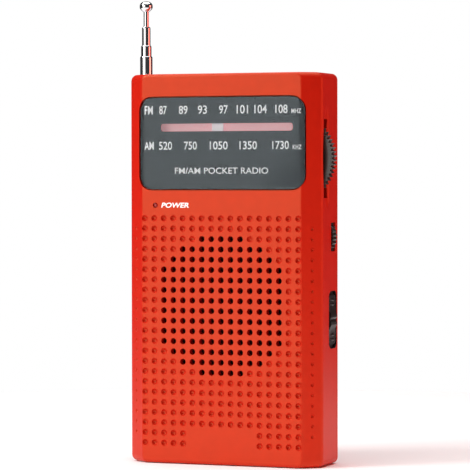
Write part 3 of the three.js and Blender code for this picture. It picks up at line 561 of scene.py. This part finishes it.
INK_Y = mask_low.y - 0.05
FM_ROW, AM_ROW, UNIT_DROP = (105.8, 108.4), (95.05, 97.55), 1.35
scale_rows = (
    (FM_ROW, (("FM", -25.3, -22.6), ("87", -20.5, -18.0), ("89", -14.1, -11.2), ("93", -7.9, -4.9),
              ("97", -1.0, 1.9), ("101", 4.7, 8.4), ("104", 10.4, 14.4), ("108", 17.1, 21.0)),
     ("MHZ", 22.2, 25.3)),
    (AM_ROW, (("AM", -25.4, -22.3), ("520", -20.6, -16.3), ("750", -12.4, -8.2),
              ("1050", -4.0, 1.8), ("1350", 5.6, 11.2), ("1730", 16.1, 21.4)),
     ("KHZ", 22.6, 25.4)),
)
for (low, high), figures, (unit, unit_left, unit_right) in scale_rows:
    for words, left, right in figures:
        lettering(f"scale_{words}", words, left, right, low, high, INK_Y)
    lettering(f"scale_{unit}", unit, unit_left, unit_right, low, low + UNIT_DROP, INK_Y)
lettering("scale_title", "FM/AM POCKET RADIO", -15.4, 14.8, 87.75, 89.65, INK_Y, weight=0.006)
lettering("power_word", "POWER", lamp_x + 1.95, lamp_x + 11.0, lamp_z - 0.75, lamp_z + 0.8,
          FRONT - 0.045, weight=0.025, slant=0.2)

# The strip is matt pink card; its weak emission is a painted glow that brightens it in its deep
# slot. The pointer is a white ABS blade with softened edges, with a painted glow like the ink's.
pink_card = moulded("pink_card", "ffc6cc", "ffd6da", 0.3, gloss=(0.7, 0.8), relief=0.15,
                    Emission_Color=linear("f2a9ae"), Emission_Strength=0.3)
white_abs = moulded("white_abs", "f0eaf2", "faf5fb", 0.4, gloss=(0.3, 0.4), relief=0.05,
                    Emission_Color=linear("f8f0f4"), Emission_Strength=0.15)
strip_low, strip_high = (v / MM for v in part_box("dial_backing"))
strip = as_object("dial_backing_strip", slab(strip_low, strip_high))
finish_piece(strip, pink_card, "case", ["dial_backing"], crease=30)
soften(strip, 0.1)

pointer_low, pointer_high = (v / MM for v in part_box("dial_pointer"))
pointer_x = (pointer_low.x + pointer_high.x) / 2
BLADE_THICK, BLADE_TOP, CARRIAGE_HALF, CARRIAGE_LOW = 0.6, 106.8, 1.0, 106.5
RAIL, RAIL_HOLE = (-5.0, 107.7), 0.8
CORD_NOTCH_HALF, CORD_NOTCH_LOW, CORD_NOTCH_HIGH = 0.6, 106, 109.6
cord_low, cord_high = (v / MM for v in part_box("dial_cord"))
cord_y = (cord_low.y + cord_high.y) / 2
pointer = as_object("dial_pointer_blade", slab(
    pointer_low, (pointer_high.x, pointer_low.y + BLADE_THICK, BLADE_TOP)))
combine(pointer, slab((pointer_x - CARRIAGE_HALF, pointer_low.y, CARRIAGE_LOW),
                      (pointer_x + CARRIAGE_HALF, pointer_high.y, pointer_high.z)), "UNION")
combine(pointer, rod((pointer_x - 5, *RAIL), (1, 0, 0), [(RAIL_HOLE, 0), (RAIL_HOLE, 10)]))
combine(pointer, slab((pointer_x - 2, cord_y - CORD_NOTCH_HALF, CORD_NOTCH_LOW),
                      (pointer_x + 2, cord_y + CORD_NOTCH_HALF, CORD_NOTCH_HIGH)))
finish_piece(pointer, white_abs, "pointer", ["dial_pointer"], crease=30)
soften(pointer, 0.12)

# ------------------------------------------------------------------ thumbwheels
# Two black ABS wheels stand out of the side: a coarse-toothed one for tuning, which turns the
# cord drum behind it, and a small knurled one for volume. The tuning wheel's tooth edges are
# painted paler: a painted highlight.


def edge_lit_black(name, body, edge_highlight, highlight_mm):
    """Black ABS with a painted highlight: paler on the outer edges, found from the rounded corners.
    """
    material, tree, shader, where = begin(name, IOR=1.53)
    edge = add_node(tree, "ShaderNodeBevel", {"samples": 4, "Radius": highlight_mm * MM})
    plain = add_node(tree, "ShaderNodeNewGeometry")
    turned_away = add_node(tree, "ShaderNodeVectorMath", {"operation": "DOT_PRODUCT"},
                           {0: edge.outputs["Normal"], 1: plain.outputs["Normal"]})
    highlight_mask = add_node(tree, "ShaderNodeMapRange", {"From Min": 1.0, "From Max": 0.8},
                    {"Value": turned_away.outputs["Value"]})
    grain = add_node(tree, "ShaderNodeTexNoise", {"Scale": 1 / (0.4 * MM), "Detail": 3.0},
                     {"Vector": where})
    patchy = add_node(tree, "ShaderNodeMath", {"operation": "MULTIPLY"},
                      {0: highlight_mask.outputs["Result"], 1: grain.outputs["Fac"]})
    tint = add_node(tree, "ShaderNodeMix", {"data_type": "RGBA", 6: linear(body), 7: linear(edge_highlight)},
                    {0: patchy.outputs["Value"]})
    rough = add_node(tree, "ShaderNodeMapRange", {"To Min": 0.32, "To Max": 0.5},
                     {"Value": grain.outputs["Fac"]})
    bump = add_node(tree, "ShaderNodeBump", {"Strength": 0.1, "Distance": 0.03 * MM},
                    {"Height": grain.outputs["Fac"]})
    tree.links.new(tint.outputs[2], shader.inputs["Base Color"])
    tree.links.new(rough.outputs["Result"], shader.inputs["Roughness"])
    tree.links.new(bump.outputs["Normal"], shader.inputs["Normal"])
    return material


satin_black = moulded("satin_black_abs", "0b0a0a", "121110", 0.4, gloss=(0.36, 0.48), relief=0.1,
                      IOR=1.53)
# Painted highlight: the tuning wheel is painted paler on its outer edges.
wheel_black = edge_lit_black("edge_lit_black_abs", "3a3835", "a8a49c", 0.2)
SHAFT_ROOM = 1.8


def wheel_ring(radius_out, teeth, depth, x, y, z):
    """One toothed ring; depth 0 gives a plain circle with as many points."""
    ring = []
    for k in range(teeth * 4):
        angle = math.tau * k / (teeth * 4)
        rise = (0.0, 0.5, 1.0, 0.5)[k % 4]
        reach = radius_out - depth * (1 - rise)
        ring.append((x + reach * math.cos(angle), y, z + reach * math.sin(angle)))
    return ring


def thumbwheel(name, centre, radius, thick, teeth, depth, dish):
    """A toothed wheel, chamfered on both faces, dished in front, with a bore."""
    x, y, z = centre
    chamfer, edge_round = 0.3, 0.04
    rings = [
        wheel_ring(SHAFT_ROOM, teeth, 0, x, y + dish, z),
        wheel_ring(radius - depth - 2.2, teeth, 0, x, y + dish, z),
        wheel_ring(radius - depth - 1.5, teeth, 0, x, y, z),
        wheel_ring(radius - depth - 0.25, teeth, 0, x, y, z),
        wheel_ring(radius - chamfer, teeth, depth - chamfer, x, y + edge_round, z),
        wheel_ring(radius, teeth, depth, x, y + chamfer, z),
        wheel_ring(radius, teeth, depth, x, y + thick - chamfer, z),
        wheel_ring(radius - chamfer, teeth, depth - chamfer, x, y + thick - edge_round, z),
        wheel_ring(radius - depth - 0.25, teeth, 0, x, y + thick, z),
        wheel_ring(SHAFT_ROOM, teeth, 0, x, y + thick, z),
    ]
    return as_object(name, loft(rings, caps=False, ring_closed=True))


tuning_radius = (wheel_high.z - wheel_low.z) / 2
tuning_x = (wheel_low.x + wheel_high.x) / 2
wheel_thick = wheel_high.y - wheel_low.y
tuning = thumbwheel("tuning_thumbwheel", (tuning_x, wheel_low.y, wheel_z), tuning_radius,
                    wheel_thick, 64, 1.1, 0.5)
finish_piece(tuning, wheel_black, "tuning", ["tuning_wheel"], crease=40)
volume = thumbwheel("volume_thumbwheel", (volume_x, volume_low.y, volume_z), VOLUME_RADIUS,
                    volume_high.y - volume_low.y, 40, 0.45, 0.4)
finish_piece(volume, satin_black, "volume", ["volume_wheel"], crease=40)

# ------------------------------------------------------------------ band switch
# A black ABS slider in a long pocket. A thin black sheet lines the pocket: painted shade, standing
# for the pocket's shadow. The slider is a low plate with grip pips at both ends and a notched ridge
# across the middle for the thumb.
SHADE_SHEET_THICK, SHADE_SHEET_GAP = 0.12, 0.01
shade_half_y, shade_half_z, shade_corner = (edge - SHADE_SHEET_GAP for edge in SWITCH_POCKET)
# Painted shade: a black sheet over the pocket's walls and floor, where there is only shadow.
pocket_shade_sheet = as_object("band_switch_liner", side_opening(
    shade_half_y, shade_half_z, shade_corner, knob_y, knob_z,
    SIDE - POCKET_DEPTH + SHADE_SHEET_GAP, SIDE - 0.02))
combine(pocket_shade_sheet, side_opening(shade_half_y - SHADE_SHEET_THICK, shade_half_z - SHADE_SHEET_THICK, shade_corner - SHADE_SHEET_THICK,
                            knob_y, knob_z, SIDE - POCKET_DEPTH + SHADE_SHEET_THICK, SIDE + 1))
combine(pocket_shade_sheet, slab((SIDE - 2, knob_y - STEM_HALF_Y, knob_z - STEM_HALF_Z),
                    (SIDE + 1, knob_y + STEM_HALF_Y, knob_z + STEM_HALF_Z)))
finish_piece(pocket_shade_sheet, satin_black, "case")

plate_back, plate_face = SIDE - 0.75, SIDE - 0.15
PLATE_HALF_Y, PLATE_CORNER = 3.2, 1.7
plate_half_z = (knob_high.z - knob_low.z) / 2
knob = as_object("band_switch_slider", side_opening(
    PLATE_HALF_Y, plate_half_z, PLATE_CORNER, knob_y, knob_z, plate_back, plate_face))
RIDGE_HALF = 2.6
ridge_side = [(plate_face - 0.2, -3.2), (SIDE + 0.42, -1.7), (knob_high.x, -1.3),
              (knob_high.x, -0.7), (SIDE - 0.1, 0), (knob_high.x, 0.7), (knob_high.x, 1.3),
              (SIDE + 0.42, 1.7), (plate_face - 0.2, 3.2)]
combine(knob, loft([[(x, knob_y + y, knob_z + z) for x, z in ridge_side]
                    for y in (-RIDGE_HALF, RIDGE_HALF)]),
        "UNION")
PIP = (0.35, 1.5, 0.42)
for pip in (-6.0, -4.6, 4.6, 6.0):
    combine(knob, scoop((plate_face, knob_y, knob_z + pip), PIP), "UNION")
STEM_INNER, KNOB_STEM_Y, KNOB_STEM_Z = 27.4, 0.9, 2
combine(knob, slab((STEM_INNER, knob_y - KNOB_STEM_Y, knob_z - KNOB_STEM_Z),
                   (plate_back + 0.2, knob_y + KNOB_STEM_Y, knob_z + KNOB_STEM_Z)), "UNION")
finish_piece(knob, satin_black, "band_switch", ["band_switch_knob"], crease=35)
soften(knob, 0.12, 2, 40)

# ------------------------------------------------------------------ power lamp
# A small red lamp, unlit: the tip of its diffused body stands just inside the hole in the face.
lamp_red = moulded("dark_red_diffused_epoxy", "a00b0e", "b81418", 0.5, gloss=(0.15, 0.22),
                   relief=0.02, IOR=1.55, Subsurface_Weight=0.2)
LAMP_PROFILE = [(0.3, 0.12), (0.52, 0.2), (0.66, 0.42), (0.68, 0.7), (0.68, 2.7), (1.5, 2.7),
                (1.5, 7), (1.3, 7)]
lamp = as_object("power_lamp", rod((lamp_x, FRONT, lamp_z), (0, 1, 0), LAMP_PROFILE, 32))
LEG_HALF, LEG_FRONT, LEG_BACK = 0.25, -4.5, 6.3
for leg in (-0.7, 0.7):
    combine(lamp, slab((lamp_x + leg - LEG_HALF, LEG_FRONT, lamp_z - LEG_HALF),
                       (lamp_x + leg + LEG_HALF, LEG_BACK, lamp_z + LEG_HALF)), "UNION")
finish_piece(lamp, lamp_red, "case", ["power_led"], crease=40)

# ------------------------------------------------------------------ aerial
# Brass tube, drawn and nickel-chrome plated, one sliding in the next. Each mouth is rolled in,
# and the last rod carries a turned tip. Wiping has left faint rings round the tubes.
bright_chrome = metal("nickel_chrome_plate", "d2d2d6", "ededf0", 1.2, (0.05, 0.13), relief=0.03,
                      stretch=(0.2, 0.2, 3))
SECTION_STEPS = 48
TUBE_BORES = (1.72, 1.42, 0.95, 0.0)
for number in range(1, 5):
    low, high = (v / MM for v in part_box(f"antenna_section_{number}"))
    radius = (high.x - low.x) / 2
    bore = TUBE_BORES[number - 1]
    mouth = [(radius, high.z - 0.45), (radius - 0.03, high.z - 0.2), (radius - 0.1, high.z - 0.05)]
    if bore:
        rings = [(bore, low.z), (radius, low.z), *mouth, (bore + 0.02, high.z),
                 (bore, high.z - 0.3)]
        mesh = loft([[(aerial_x + r * math.cos(math.tau * k / SECTION_STEPS),
                       aerial_y + r * math.sin(math.tau * k / SECTION_STEPS), z)
                      for k in range(SECTION_STEPS)] for r, z in rings],
                    caps=False, ring_closed=True)
    else:
        mesh = rod((aerial_x, aerial_y, 0), (0, 0, 1),
                   [(radius, low.z), (radius, high.z)], SECTION_STEPS)
    finish_piece(as_object(f"aerial_tube_{number}", mesh), bright_chrome, f"aerial_{number}",
                 [f"antenna_section_{number}"], crease=35)

tip_profile = [(0.85, 0.0), (1.0, 0.05), (1.55, 0.6), (1.9, 1.05), (2.0, 1.35), (2.0, 1.9),
               (1.9, 2.3), (1.65, 2.7), (1.2, 3.02), (0.6, 3.22), (0.2, 3.28)]
tip = as_object("aerial_tip", rod((aerial_x, aerial_y, tip_low.z), (0, 0, 1), tip_profile,
                                  SECTION_STEPS))
finish_piece(tip, bright_chrome, "aerial_4", ["antenna_tip"], crease=35)

# ------------------------------------------------------------------ speaker cloth
# A black open-weave cloth glued over the speaker, seen through the holes.


# A band pattern at scale 1 repeats every 0.314 m, so that over the thread spacing is its scale.
BAND_REPEAT = 0.314


def woven(name, low, high, thread_mm):
    """A plain weave: two bands of ridges cross over each other."""
    material, tree, shader, where = begin(name, Roughness=0.9, Sheen_Weight=0.2)
    bands = [add_node(tree, "ShaderNodeTexWave",
                      {"wave_type": "BANDS", "bands_direction": way,
                       "Scale": BAND_REPEAT / (thread_mm * MM), "Distortion": 0.4}, {"Vector": where})
             for way in ("X", "Z")]
    over = add_node(tree, "ShaderNodeMath", {"operation": "MULTIPLY"},
                    {0: bands[0].outputs["Fac"], 1: bands[1].outputs["Fac"]})
    tint = add_node(tree, "ShaderNodeMix", {"data_type": "RGBA", 6: linear(low), 7: linear(high)},
                    {0: over.outputs["Value"]})
    bump = add_node(tree, "ShaderNodeBump", {"Strength": 0.6, "Distance": 0.1 * MM},
                    {"Height": over.outputs["Value"]})
    tree.links.new(tint.outputs[2], shader.inputs["Base Color"])
    tree.links.new(bump.outputs["Normal"], shader.inputs["Normal"])
    return material


speaker_weave = woven("black_speaker_weave", "0a0706", "241a16", 0.3)
cloth_low, cloth_high = (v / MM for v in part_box("speaker_cloth"))
cloth_radius = (cloth_high.x - cloth_low.x) / 2
cloth_profile = [(cloth_radius - 0.1, 0), (cloth_radius, 0.05), (cloth_radius, 0.15),
                 (cloth_radius - 0.1, 0.2)]
cloth = as_object("speaker_cloth_disc",
                  rod((0, cloth_low.y, GRID_MIDDLE), (0, 1, 0), cloth_profile, 72))
finish_piece(cloth, speaker_weave, "case", ["speaker_cloth"])

# ------------------------------------------------------------------ inside the case
# The speaker, drive, board, aerial coil and cells keep their CAD shapes and get the finish of
# the real part. They are seen only with the cell door open or through a wheel's slot.
brass = metal("plain_brass", "a9853f", "c39f55", 0.8, (0.25, 0.4))
pressed_steel = metal("pressed_nickel_steel", "8e8f91", "a9aaac", 1.0, (0.28, 0.42))
copper = metal("enamelled_copper_wire", "8a421c", "b4602c", 0.15, (0.25, 0.35), stretch=(8, 1, 1))
sintered_ferrite = moulded("sintered_ferrite", "262423", "35322f", 0.2, (0.55, 0.75), 0.3)
laminate = moulded("phenolic_laminate", "7c5c2c", "8f6d38", 0.6, (0.45, 0.6), 0.15)
epoxy = moulded("matt_black_epoxy", "18181a", "242426", 0.2, (0.55, 0.7), 0.2)
cone_paper = moulded("pressed_cone_paper", "1f1b19", "2f2a27", 0.4, (0.85, 0.95), 0.4)
cell_sleeve = moulded("printed_cell_sleeve", "223f7c", "2f5299", 0.5, (0.25, 0.35), 0.04)
capacitor_sleeve = moulded("shrunk_sleeve", "18244a", "22305c", 0.4, (0.3, 0.4), 0.05)
red_wire = moulded("red_wire_sheath", "a01a14", "b8261c", 0.3, (0.4, 0.55), 0.1)
black_wire = moulded("black_wire_sheath", "141414", "202020", 0.3, (0.4, 0.55), 0.1)
braided_cord = woven("braided_dial_cord", "b9b29c", "e2dccb", 0.2)

kept = {
    brass: "antenna_sleeve",
    pressed_steel: "speaker_frame speaker_magnet tuning_potentiometer volume_potentiometer "
                   "band_switch_body coil_can_1 coil_can_2 coil_can_3 battery_spring_1 "
                   "battery_spring_2 contact_plate_1 contact_plate_2 pointer_rail",
    zinc_plate: "tuning_wheel_screw volume_wheel_screw pulley_pin_left pulley_pin_right",
    copper: "aerial_coil",
    sintered_ferrite: "ferrite_rod",
    laminate: "circuit_board",
    epoxy: "receiver_chip",
    satin_black: "earphone_socket battery_tray",
    # The drum and pulleys take the pointer's white, painted glow included.
    white_abs: "cord_drum pulley_left pulley_right",
    cone_paper: "speaker_cone speaker_dust_cap",
    cell_sleeve: "battery_1 battery_2",
    capacitor_sleeve: "capacitor_1 capacitor_2 capacitor_3",
    red_wire: "speaker_lead_1 battery_lead_1",
    black_wire: "speaker_lead_2",
    braided_cord: "dial_cord",
}
for material, nodes in kept.items():
    for node in nodes.split():
        slots = bpy.data.objects[node].data.materials
        slots.clear()
        slots.append(material)

# ------------------------------------------------------------------ studio
# A round white table under a wide overhead light. A key and a warm sheen come from the left, and a
# fill from the front; the fill on the right is red, for warm surroundings that aren't modelled. The
# sky is dim, and only the camera sees it as white.
TABLE_RADIUS = 0.28
table_mesh = bmesh.new()
bmesh.ops.create_circle(table_mesh, cap_ends=True, segments=128, radius=TABLE_RADIUS,
                        matrix=Matrix.Translation((0, 0, -0.0002)))
table = as_object("studio_table", table_mesh)
table.data.materials.clear()
table.data.materials.append(
    moulded("white_table_paper", "fcfcfc", "ffffff", 3, (0.85, 0.95), 0.02))

scene = bpy.context.scene
scene.view_settings.view_transform = "Standard"
sky = bpy.data.worlds.new("studio_sky")
scene.world = sky
sky.use_nodes = True
sky_tree = sky.node_tree
sky_tree.nodes.clear()
dim = add_node(sky_tree, "ShaderNodeBackground", {"Color": (1, 1, 1, 1), "Strength": 0.05})
white = add_node(sky_tree, "ShaderNodeBackground", {"Color": (1, 1, 1, 1), "Strength": 1.0})
seen = add_node(sky_tree, "ShaderNodeLightPath")
either = add_node(sky_tree, "ShaderNodeMixShader", {},
                  {0: seen.outputs["Is Camera Ray"], 1: dim.outputs[0], 2: white.outputs[0]})
add_node(sky_tree, "ShaderNodeOutputWorld", {}, {"Surface": either.outputs[0]})


def soft_light(name, azimuth, elevation, away, size, watts, tint="ffffff"):
    """A square area light that looks at the middle of the case."""
    lamp_data = bpy.data.lights.new(name, "AREA")
    lamp_data.size, lamp_data.energy, lamp_data.color = size, watts, linear(tint)[:3]
    light = bpy.data.objects.new(name, lamp_data)
    a, e = math.radians(azimuth), math.radians(elevation)
    back_way = Vector((math.sin(a) * math.cos(e), -math.cos(a) * math.cos(e), math.sin(e)))
    light.location = Vector((0, 0, TALL / 2 * MM)) + back_way * away
    light.rotation_euler = back_way.to_track_quat("Z", "Y").to_euler()
    scene.collection.objects.link(light)


soft_light("overhead", 0, 90, 1.0, 1.3, 13.0)
soft_light("upper_left_key", -50, 38, 0.9, 0.3, 4.5)
soft_light("left_sheen", -26, 12, 0.8, 0.5, 1.5, "fffaf0")
soft_light("front_fill", -18, 6, 1.0, 0.8, 1.8)
soft_light("right_fill", 100, 10, 0.9, 0.4, 3.6, "ff6a5c")

CAMERA_AZIMUTH, CAMERA_ELEVATION, CAMERA_ROLL = 21.27, 1.25, -0.08
CAMERA_AWAY, CAMERA_LENS = 0.81025, 206.8
aim = Vector((4.60, FRONT, 69.39)) * MM
a, e = math.radians(CAMERA_AZIMUTH), math.radians(CAMERA_ELEVATION)
towards = Vector((math.sin(a) * math.cos(e), -math.cos(a) * math.cos(e), math.sin(e)))
camera = bpy.data.objects.new("camera", bpy.data.cameras.new("camera"))
camera.data.lens, camera.data.sensor_width = CAMERA_LENS, 36.0
camera.location = aim + towards * CAMERA_AWAY
camera.rotation_mode = "QUATERNION"
camera.rotation_quaternion = (towards.to_track_quat("Z", "Y")
                              @ Matrix.Rotation(math.radians(CAMERA_ROLL), 4, "Z").to_quaternion())
scene.collection.objects.link(camera)
scene.camera = camera
